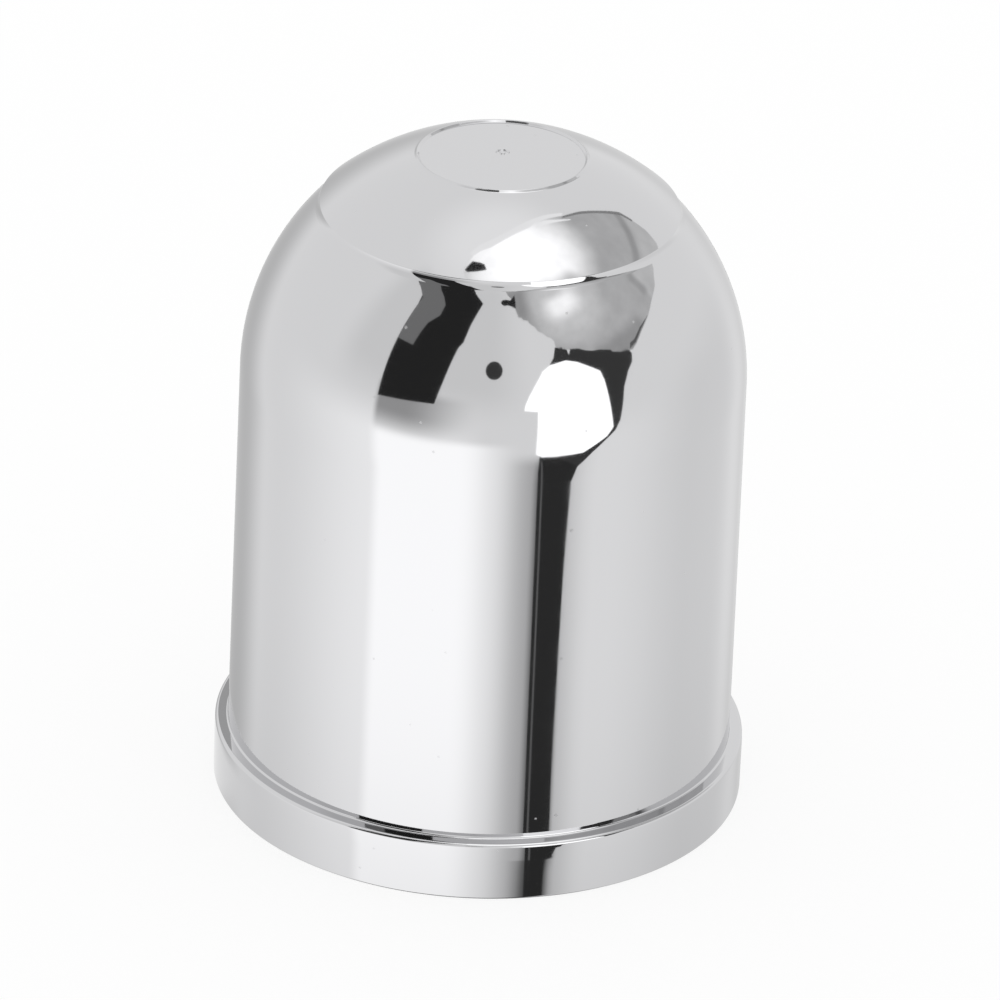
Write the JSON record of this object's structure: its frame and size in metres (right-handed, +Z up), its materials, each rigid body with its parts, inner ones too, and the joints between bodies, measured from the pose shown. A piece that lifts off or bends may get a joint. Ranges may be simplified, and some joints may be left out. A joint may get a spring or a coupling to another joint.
{
  "type": "tow ball cover",
  "caption": "Dome-topped round cover with a stepped rim and inner grip ribs that pushes over a trailer tow ball, in bright chrome-plated plastic.",
  "frame": {"origin": "on the axis at the underside of the rim", "axes": "+Z up along the axis, from the open rim to the top disc; one grip rib lies on +X"},
  "size_m": [0.062, 0.062, 0.0795],
  "materials": {
    "chrome_plating": "mirror-bright chrome plating on moulded plastic"
  },
  "bodies": {
    "root": {"cover_shell": "chrome_plating"}
  },
  "joints": []
}
